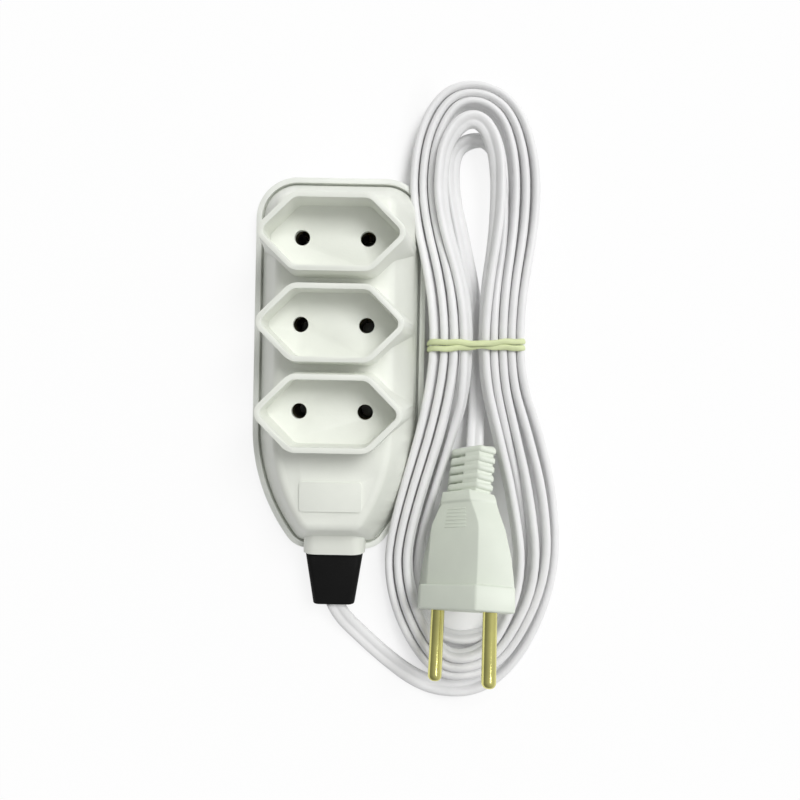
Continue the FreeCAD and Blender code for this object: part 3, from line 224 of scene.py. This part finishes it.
def skin(name, rings, closed_ends=True):
    """A tube's mesh through rings of points, each as long as the next."""
    count = len(rings[0])
    vertices = [place for ring in rings for place in ring]
    faces = []
    for r in range(len(rings) - 1):
        for k in range(count):
            a, b = r * count + k, r * count + (k + 1) % count
            faces.append((a, b, b + count, a + count))
    if closed_ends:
        faces.append(tuple(reversed(range(count))))
        faces.append(tuple(range((len(rings) - 1) * count, len(rings) * count)))
    mesh = bpy.data.meshes.new(name)
    mesh.from_pydata(vertices, [], faces)
    tidy = bmesh.new()
    tidy.from_mesh(mesh)
    bmesh.ops.recalc_face_normals(tidy, faces=tidy.faces)
    tidy.to_mesh(mesh)
    tidy.free()
    mesh.polygons.foreach_set("use_smooth", [True] * len(mesh.polygons))
    piece = bpy.data.objects.new(name, mesh)
    bpy.context.scene.collection.objects.link(piece)
    return piece


def lean_at(step):
    """The cord's lean at one of its line's points, eased between the control points."""
    at = step / STEPS_PER_LEG + 0.5
    before = min(int(at), len(route) - 1)
    after = min(before + 1, len(route) - 1)
    lean = [place[3] if len(place) > 3 else LEAN for place in (route[before], route[after])]
    return lean[0] + (lean[1] - lean[0]) * ramp(at - before, 0, 1)


def make_cord():
    points = curve_points("cord_line", route, STEPS_PER_LEG)
    section = twin_section(CORD_WIDTH, CORD_THICKNESS, CORD_GROOVE)
    along = zip(points, tangents(points), lengths_along(points))
    rings = []
    for step, (point, way, run) in enumerate(along):
        right = way.cross(Vector((0, 0, 1))).normalized()
        up = right.cross(way)
        roll = math.radians(90 * ramp(run, *STANDS_UP) - lean_at(step))
        wide = right * math.cos(roll) + up * math.sin(roll)
        thin = up * math.cos(roll) - right * math.sin(roll)
        rings.append([point + (wide * a + thin * b) * MM for a, b in section])
    return skin("cord", rings), points


cord, cord_line = make_cord()


# Finishes

BROAD_SCALE = 90
GRAIN_DEPTH = 0.0003
GLOSS_CHANGE = 0.05


def add_node(tree, kind, **values):
    """A new node with some of its input sockets set. Their names stand with _ for a space."""
    node = tree.nodes.new(kind)
    for key, value in values.items():
        node.inputs[key.replace("_", " ")].default_value = value
    return node


def new_material(name):
    made = bpy.data.materials.new(name)
    made.use_nodes = True
    return made, made.node_tree, made.node_tree.nodes["Principled BSDF"]


def finish_of(name, colour, roughness, mottle=0.03, grain=1600, bump=0.02, metal=0, shine=0.4):
    """A surface with slight changes of colour and roughness and a fine grain."""
    made, tree, shader = new_material(name)
    link = tree.links.new
    shader.inputs["Metallic"].default_value = metal
    shader.inputs["Specular IOR Level"].default_value = shine
    place = add_node(tree, "ShaderNodeTexCoord")
    broad = add_node(tree, "ShaderNodeTexNoise", Scale=BROAD_SCALE, Detail=3)
    fine = add_node(tree, "ShaderNodeTexNoise", Scale=grain, Detail=2)
    link(place.outputs["Object"], broad.inputs["Vector"])
    link(place.outputs["Object"], fine.inputs["Vector"])
    tint = add_node(tree, "ShaderNodeValToRGB")
    ends = tint.color_ramp.elements
    ends[0].position, ends[1].position = 0.3, 0.7
    ends[0].color = (*[c * (1 - mottle) for c in colour], 1)
    ends[1].color = (*[min(1, c * (1 + mottle)) for c in colour], 1)
    link(broad.outputs["Fac"], tint.inputs["Fac"])
    link(tint.outputs["Color"], shader.inputs["Base Color"])
    gloss = add_node(tree, "ShaderNodeMapRange",
                     To_Min=roughness - GLOSS_CHANGE, To_Max=roughness + GLOSS_CHANGE)
    link(broad.outputs["Fac"], gloss.inputs["Value"])
    link(gloss.outputs["Result"], shader.inputs["Roughness"])
    relief = add_node(tree, "ShaderNodeBump", Strength=bump, Distance=GRAIN_DEPTH)
    link(fine.outputs["Fac"], relief.inputs["Height"])
    link(relief.outputs["Normal"], shader.inputs["Normal"])
    return made


cover_finish = finish_of("cover_plastic", (0.79, 0.81, 0.745), 0.4, bump=0.05)
tray_finish = finish_of("tray_plastic", (0.80, 0.82, 0.77), 0.42, bump=0.05)
plug_finish = finish_of("plug_plastic", (0.70, 0.745, 0.655), 0.4, bump=0.05)
insert_finish = finish_of("insert_plastic", (0.6, 0.6, 0.55), 0.5)
boot_finish = finish_of("boot_rubber", (0.006, 0.006, 0.006), 0.6, mottle=0.2, grain=2500,
                        bump=0.12, shine=0.12)
cord_finish = finish_of("cord_sheath", (0.80, 0.80, 0.80), 0.42, mottle=0.025, grain=900,
                        bump=0.06)
live_finish = finish_of("live_insulation", (0.25, 0.07, 0.03), 0.5)
neutral_finish = finish_of("neutral_insulation", (0.03, 0.12, 0.5), 0.5)
band_finish = finish_of("band_rubber", (0.60, 0.66, 0.38), 0.5, mottle=0.14, grain=1200, bump=0.1)
brass_finish = finish_of("brass", (0.70, 0.52, 0.20), 0.3, mottle=0.1, metal=1)
# The socket contacts' brass is painted nearly black: painted shade for the dark inside of the
# socket holes, not the metal's own colour.
contact_painted_shade_finish = finish_of("contact_brass_painted_dark", (0.16, 0.14, 0.09), 0.45, mottle=0.2, metal=1)
pin_finish = finish_of("pin_brass", (0.68, 0.65, 0.24), 0.15, mottle=0.12, grain=700, bump=0.08,
                       metal=1)
steel_finish = finish_of("steel", (0.5, 0.5, 0.5), 0.35, metal=1)


def wear(piece, material):
    piece.data.materials.clear()
    piece.data.materials.append(material)


def only(piece):
    """Select one piece and nothing else, and make it active."""
    for other in bpy.context.selected_objects:
        other.select_set(False)
    piece.select_set(True)
    bpy.context.view_layer.objects.active = piece


def settle(piece, slot, material, *nodes):
    """Give a piece its finish, attach it to the root body and hide the CAD parts it stands for."""
    wear(piece, material)
    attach(piece, "root")
    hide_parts(*nodes)


def round_edges(piece, width, segments=3, angle=20):
    """Round over the edges that are sharper than an angle."""
    only(piece)
    bevel = piece.modifiers.new("edges", "BEVEL")
    bevel.width = width * MM
    bevel.segments = segments
    bevel.limit_method = "ANGLE"
    bevel.angle_limit = math.radians(angle)
    bpy.ops.object.modifier_apply(modifier="edges")


def moulded_copy(node, name, round_over):
    """The CAD part's own form with merged faces and its sharp edges rounded over."""
    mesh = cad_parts[node].data.copy()
    mesh.name = name
    piece = bpy.data.objects.new(name, mesh)
    bpy.context.scene.collection.objects.link(piece)
    work = bmesh.new()
    work.from_mesh(mesh)
    bmesh.ops.remove_doubles(work, verts=work.verts, dist=0.000004)
    bmesh.ops.dissolve_limit(work, angle_limit=math.radians(0.6), verts=work.verts,
                             edges=work.edges)
    work.to_mesh(mesh)
    work.free()
    round_edges(piece, round_over, segments=2, angle=35)
    bpy.ops.object.shade_smooth_by_angle(angle=math.radians(42))
    return piece


cover = moulded_copy("upper_shell", "cover", 0.25)
settle(cover, "cover_plastic", cover_finish, "upper_shell")
tray = moulded_copy("base_shell", "tray", 0.25)
settle(tray, "tray_plastic", tray_finish, "base_shell")
boot = moulded_copy("strain_relief_boot", "boot", 0.3)
settle(boot, "boot_rubber", boot_finish, "strain_relief_boot")


# The plug, made upright at the origin and then laid where it belongs: pins up, cord down

PLUG_TURN = (
    Matrix.Rotation(math.radians(-3.2), 4, "Z")
    @ Matrix.Rotation(math.radians(90 - 21.5), 4, "X")
    @ Matrix.Rotation(math.radians(45), 4, "Z")
)
PLUG_PLACE = Matrix.Translation(Vector((38.6, -70.2, 23.5)) * MM) @ PLUG_TURN
PLUG_FACE = (17.85, 10.2, 7.65)
FLANGE = 6.8

# Grip: depth behind the face, then reach of the points, half width of the flats and half height

GRIP_RINGS = [
    (FLANGE, 17.6, 9.2, 6), (14, 16.6, 9.15, 5.8), (22, 14.4, 9, 5.6), (24, 13.5, 8.7, 5.5),
    (27.2, 12.1, 7.2, 5.3), (30, 11.1, 5.7, 5.1), (30.6, 11.1, 5.6, 5.6), (33.6, 10.2, 5.1, 5.4),
]
POINTS_SWEPT = 1.2

# Six bars on each flat: the first one's depth, length and height, and their change from bar to bar

BAR_DEPTH, BAR_PITCH = 22.9, 1.05
BAR_LENGTH, BAR_SHORTER = 8.2, 0.25
BAR_HEIGHT, BAR_LOWER = 5.45, 0.07
BAR_THICKNESS = 0.5

# Strain relief: sections from reach to half height, and where each of the five ribs ends

CORE_FRONT, CORE_BACK = (5.8, 3.4, 2.3), (5, 2.9, 2.1)
FILL = (8.1, 5.1, 3.3)
FILL_FROM = -0.5
RIB = (9, 5.6, 3.6)
RIB_SWEPT = 1.1
RIB_BACKS = (36.5, 39.25, 42, 44.75, 47.7)
RIB_LENGTH = 2.15
TINY = 1e-6


def edit(piece):
    """Open a piece for work on its vertices, with none of them selected."""
    only(piece)
    bpy.ops.object.mode_set(mode="EDIT")
    bpy.ops.mesh.select_mode(type="VERT")
    bpy.ops.mesh.select_all(action="DESELECT")


def pick(piece, test):
    """Select the vertices that pass a test on their place, and what lies between them."""
    work = bmesh.from_edit_mesh(piece.data)
    for vertex in work.verts:
        vertex.select = test(vertex.co)
    work.select_flush_mode()
    bmesh.update_edit_mesh(piece.data)


def done():
    bpy.ops.object.mode_set(mode="OBJECT")


def hexagon(name, depth, ring):
    """A flat hexagon across the plug's axis, at a depth behind its face."""
    bpy.ops.mesh.primitive_circle_add(vertices=6, radius=MM, fill_type="NGON",
                                      rotation=(0, 0, math.radians(30)))
    piece = bpy.context.object
    piece.name = piece.data.name = name
    bpy.ops.object.transform_apply(location=True, rotation=True, scale=True)
    edit(piece)
    bpy.ops.mesh.select_all(action="SELECT")
    bpy.ops.transform.translate(value=(0, 0, -depth * MM))
    reshape(piece, depth, (1, 0.5, math.sqrt(0.75)), ring)
    return piece


def reshape(piece, depth, old, new):
    """Turn the ring at one depth from one hexagon into another."""
    at = -depth * MM
    pick(piece, lambda p: abs(p.z - at) < TINY and abs(p.y) < TINY)
    bpy.ops.transform.resize(value=(new[0] / old[0], 1, 1), center_override=(0, 0, at))
    pick(piece, lambda p: abs(p.z - at) < TINY and abs(p.y) > TINY)
    bpy.ops.transform.resize(value=(new[1] / old[1], new[2] / old[2], 1),
                             center_override=(0, 0, at))


def lengthen(piece, depth, old, back, new):
    """Extrude the ring at one depth back to another and reshape it there."""
    pick(piece, lambda p: abs(p.z + depth * MM) < TINY)
    ahead = (depth - back) * MM
    bpy.ops.mesh.extrude_region_move(TRANSFORM_OT_translate={"value": (0, 0, ahead)})
    reshape(piece, back, old, new)


def closed(piece):
    """Merge what lies together and turn every face outwards."""
    edit(piece)
    bpy.ops.mesh.select_all(action="SELECT")
    bpy.ops.mesh.remove_doubles(threshold=0.000002)
    bpy.ops.mesh.normals_make_consistent(inside=False)
    done()


def join(pieces):
    only(pieces[0])
    for piece in pieces[1:]:
        piece.select_set(True)
    bpy.ops.object.join()
    return pieces[0]


def make_flange():
    piece = hexagon("plug", 0, PLUG_FACE)
    lengthen(piece, 0, PLUG_FACE, FLANGE, PLUG_FACE)
    done()
    closed(piece)
    round_edges(piece, 0.6)
    return piece


def make_grip():
    """From the flange to the shoulder, whose points are swept towards the face."""
    depth, ring = FLANGE - 0.6, GRIP_RINGS[0][1:]
    piece = hexagon("grip", depth, ring)
    for back, *new in GRIP_RINGS:
        lengthen(piece, depth, ring, back, new)
        depth, ring = back, new
    pick(piece, lambda p: abs(p.z + depth * MM) < TINY and abs(p.y) < TINY)
    bpy.ops.transform.translate(value=(0, 0, POINTS_SWEPT * MM))
    done()
    closed(piece)
    round_edges(piece, 0.7, angle=12)
    return piece


def make_grip_lines():
    """Six fine bars across each flat, where the fingers pull."""
    bars = []
    for side in (1, -1):
        for k in range(6):
            place = Vector((0.4, side * (BAR_HEIGHT - BAR_LOWER * k), -BAR_DEPTH - BAR_PITCH * k))
            bpy.ops.mesh.primitive_cube_add(size=MM, location=place * MM)
            bar = bpy.context.object
            bpy.ops.transform.resize(value=(BAR_LENGTH - BAR_SHORTER * k, BAR_THICKNESS,
                                            BAR_THICKNESS))
            bpy.ops.object.transform_apply(location=True, rotation=True, scale=True)
            round_edges(bar, 0.16, segments=2)
            bars.append(bar)
    return bars


def make_relief():
    """The strain relief: a core, half of it filled out, and five ribs round it."""
    front = GRIP_RINGS[-1][0] - 1.5
    back = RIB_BACKS[-1] - 0.4
    core = hexagon("core", front, CORE_FRONT)
    lengthen(core, front, CORE_FRONT, back, CORE_BACK)
    done()
    fill = hexagon("fill", front, FILL)
    lengthen(fill, front, FILL, back, FILL)
    bpy.ops.mesh.select_all(action="SELECT")
    bpy.ops.mesh.bisect(plane_co=(FILL_FROM * MM, 0, 0), plane_no=(1, 0, 0), use_fill=True,
                        clear_inner=True)
    done()
    closed(core)
    closed(fill)
    round_edges(fill, 0.3)
    rib = hexagon("rib", 0, RIB)
    lengthen(rib, 0, RIB, RIB_LENGTH, RIB)
    pick(rib, lambda p: abs(p.y) < TINY)
    bpy.ops.transform.translate(value=(0, 0, RIB_SWEPT * MM))
    done()
    closed(rib)
    round_edges(rib, 0.85, segments=4, angle=15)
    ribs = []
    for back in RIB_BACKS:
        copy = bpy.data.objects.new("rib", rib.data.copy())
        bpy.context.scene.collection.objects.link(copy)
        only(copy)
        bpy.ops.transform.translate(value=(0, 0, (RIB_LENGTH - back) * MM))
        bpy.ops.object.transform_apply(location=True, rotation=True, scale=True)
        ribs.append(copy)
    bpy.data.objects.remove(rib)
    relief = join([core, fill, *ribs])
    # the relief leans with the cord, a little to the right of the plug's axis
    sideways = PLUG_TURN.inverted().to_3x3() @ Vector((1, 0, 0))
    for vertex in relief.data.vertices:
        share = (-vertex.co.z / MM - 33) / 14
        vertex.co += sideways * (0.5 + 0.95 * share) * MM
    return relief


def make_plug():
    piece = join([make_flange(), make_grip(), make_relief(), *make_grip_lines()])
    piece.matrix_world = PLUG_PLACE
    only(piece)
    bpy.ops.object.transform_apply(location=True, rotation=True, scale=True)
    bpy.ops.object.shade_smooth_by_angle(angle=math.radians(38))
    return piece


plug = make_plug()
settle(plug, "plug_plastic", plug_finish, "plug_body")
for side in ("left", "right"):
    pin = moulded_copy(f"plug_pin_{side}", f"pin_{side}", 0.12)
    settle(pin, "pin_brass", pin_finish, f"plug_pin_{side}")

settle(cord, "cord_sheath", cord_finish, "cord_lead", "cord_hank", "plug_lead")


# Rubber band: one loop wound twice round the hank's waist

BAND_Y = 0.0062
BAND_CORNER = 0.0024
BAND_HALF_WIDTH, BAND_HALF_THICKNESS = 0.00092, 0.00048
LAPS_APART = 0.00098


def band_path():
    """Two laps round a box with round corners: x, z and the share of the way."""
    low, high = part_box("rubber_band")
    right, left = high.x - 0.0005 - BAND_CORNER, low.x + 0.0005 + BAND_CORNER
    top, base = high.z - 0.0005 - BAND_CORNER, low.z + 0.0006 + BAND_CORNER
    corners = [(right, top, 0), (left, top, 90), (left, base, 180), (right, base, 270)]
    line = []
    for x, z, start in corners * 2:
        for k in range(7):
            turn = math.radians(start + 15 * k)
            line.append((x + BAND_CORNER * math.cos(turn), z + BAND_CORNER * math.sin(turn)))
    path = []
    for i, (x, z) in enumerate(line):
        after = line[(i + 1) % len(line)]
        steps = max(1, round(math.dist((x, z), after) / 0.0008))
        for k in range(steps):
            share = (i + k / steps) / len(line)
            path.append((x + (after[0] - x) * k / steps, z + (after[1] - z) * k / steps, share))
    return path, (low.x + high.x) / 2, (high.x - low.x) / 2 - 0.0005, low.z


def make_band():
    path, middle, half, floor = band_path()
    points = []
    for x, z, share in path:
        # the laps lie side by side and draw together, one on the other, near the middle on top
        pinch = math.exp(-((x - 0.0435) / 0.0055) ** 2) if z > 0.006 else 0
        lap = math.cos(2 * math.pi * (share - 0.1))
        side = (LAPS_APART - 0.0006 * pinch) * math.tanh(4 * lap) + 0.00012 * math.sin(x * 900)
        slope = 0.0004 * (x - middle) / half
        lift = (0.00012 + 0.0009 * pinch) * max(0, lap)
        points.append(Vector((x, BAND_Y + side + slope, z + lift)))
    rings = []
    for point, way in zip(points, tangents(points, closed=True)):
        out = Vector((0, 1, 0)).cross(way).normalized()
        across = way.cross(out)
        twist = 0.35 * math.sin(point.x * 420 + point.y * 900)
        ring = []
        for k in range(12):
            turn = 2 * math.pi * k / 12
            wide = BAND_HALF_WIDTH * math.cos(turn)
            thick = BAND_HALF_THICKNESS * math.sin(turn)
            a = wide * math.cos(twist) - thick * math.sin(twist)
            b = wide * math.sin(twist) + thick * math.cos(twist)
            place = point + across * a + out * b
            place.z = max(place.z, floor + 0.00005)
            ring.append(place)
        rings.append(ring)
    rings.append(rings[0])
    piece = skin("band", rings, closed_ends=False)
    closed(piece)
    return piece


band = make_band()
settle(band, "band_rubber", band_finish, "rubber_band")


# Parts that keep their CAD form

inner_finishes = {
    "entry_cord": cord_finish,
    "plug_entry_cord": cord_finish,
    "plug_bridge": insert_finish,
    "cord_clamp": insert_finish,
    "live_core": live_finish,
    "neutral_core": neutral_finish,
    "plug_core_left": live_finish,
    "plug_core_right": neutral_finish,
    "shell_screws": steel_finish,
    "clamp_screws": steel_finish,
}
replaced = {"upper_shell", "base_shell", "strain_relief_boot", "plug_body", "plug_pin_left",
            "plug_pin_right", "cord_lead", "cord_hank", "plug_lead", "rubber_band"}
for name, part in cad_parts.items():
    if name not in replaced:
        plain = contact_painted_shade_finish if "contact" in name else brass_finish
        wear(part, inner_finishes.get(name, plain))


# Floor, light and world

FLOOR_GLOW = 0.84

# Ellipses on the floor that show its real shade: between the strands, and beside the block

SHADED = [((0.0405, -0.05), (0.028, 0.062)), ((0.025, 0.02), (0.012, 0.075))]


def falloff(tree, centre, reach):
    """One at a centre on the floor and nought at the reach of an ellipse round it."""
    place = add_node(tree, "ShaderNodeTexCoord")
    fit = add_node(tree, "ShaderNodeMapping", Scale=(1 / reach[0], 1 / reach[1], 1),
                   Location=(-centre[0] / reach[0], -centre[1] / reach[1], 0))
    ball = add_node(tree, "ShaderNodeTexGradient")
    ball.gradient_type = "SPHERICAL"
    tree.links.new(place.outputs["Object"], fit.inputs["Vector"])
    tree.links.new(fit.outputs["Vector"], ball.inputs["Vector"])
    return ball.outputs["Fac"]


def combine(tree, operation, first, second):
    node = add_node(tree, "ShaderNodeMath")
    node.operation = operation
    tree.links.new(first, node.inputs[0])
    tree.links.new(second, node.inputs[1])
    return node.outputs[0]


def make_floor():
    """A pale floor that keeps the object's shadow and is otherwise seen white."""
    bpy.ops.mesh.primitive_plane_add(size=6, location=(0, 0, 0))
    floor = bpy.context.object
    floor.name = "floor"
    made, tree, shader = new_material("floor")
    link = tree.links.new
    shader.inputs["Base Color"].default_value = (0.95, 0.95, 0.95, 1)
    shader.inputs["Roughness"].default_value = 0.9
    glow = add_node(tree, "ShaderNodeEmission")
    rays = add_node(tree, "ShaderNodeLightPath").outputs
    seen = combine(tree, "MAXIMUM", rays["Is Camera Ray"], rays["Is Glossy Ray"])
    seen = combine(tree, "MAXIMUM", seen, rays["Is Transmission Ray"])
    shade = combine(tree, "MAXIMUM", *[falloff(tree, *ellipse) for ellipse in SHADED])
    spread = add_node(tree, "ShaderNodeMapRange", From_Max=0.3, To_Min=FLOOR_GLOW, To_Max=0)
    link(shade, spread.inputs["Value"])
    mix = add_node(tree, "ShaderNodeMixShader")
    link(combine(tree, "MULTIPLY", seen, spread.outputs["Result"]), mix.inputs["Fac"])
    link(shader.outputs["BSDF"], mix.inputs[1])
    link(glow.outputs["Emission"], mix.inputs[2])
    link(mix.outputs["Shader"], tree.nodes["Material Output"].inputs["Surface"])
    floor.data.materials.append(made)


def make_sun(name, towards, strength, width):
    data = bpy.data.lights.new(name, "SUN")
    data.energy = strength
    data.angle = math.radians(width)
    lamp = bpy.data.objects.new(name, data)
    lamp.rotation_euler = Vector(towards).to_track_quat("Z", "Y").to_euler()
    bpy.context.scene.collection.objects.link(lamp)


def make_world():
    """Soft light all round, dimmer from the left."""
    world = bpy.data.worlds.new("world")
    bpy.context.scene.world = world
    world.use_nodes = True
    tree = world.node_tree
    link = tree.links.new
    place = add_node(tree, "ShaderNodeTexCoord")
    turn = add_node(tree, "ShaderNodeMapping", Rotation=(0, 0, math.radians(-32)))
    parts = add_node(tree, "ShaderNodeSeparateXYZ")
    side = add_node(tree, "ShaderNodeMapRange", From_Min=-0.8, From_Max=0.4, To_Min=0.25,
                    To_Max=0.7)
    sky = tree.nodes["Background"]
    sky.inputs["Color"].default_value = (1, 1, 1, 1)
    link(place.outputs["Generated"], turn.inputs["Vector"])
    link(turn.outputs["Vector"], parts.inputs["Vector"])
    link(parts.outputs["X"], side.inputs["Value"])
    link(side.outputs["Result"], sky.inputs["Strength"])


make_floor()
make_sun("key", (0.38, 0.42, 0.824), 1.72, 28)
make_world()
bpy.context.scene.view_settings.view_transform = "Standard"
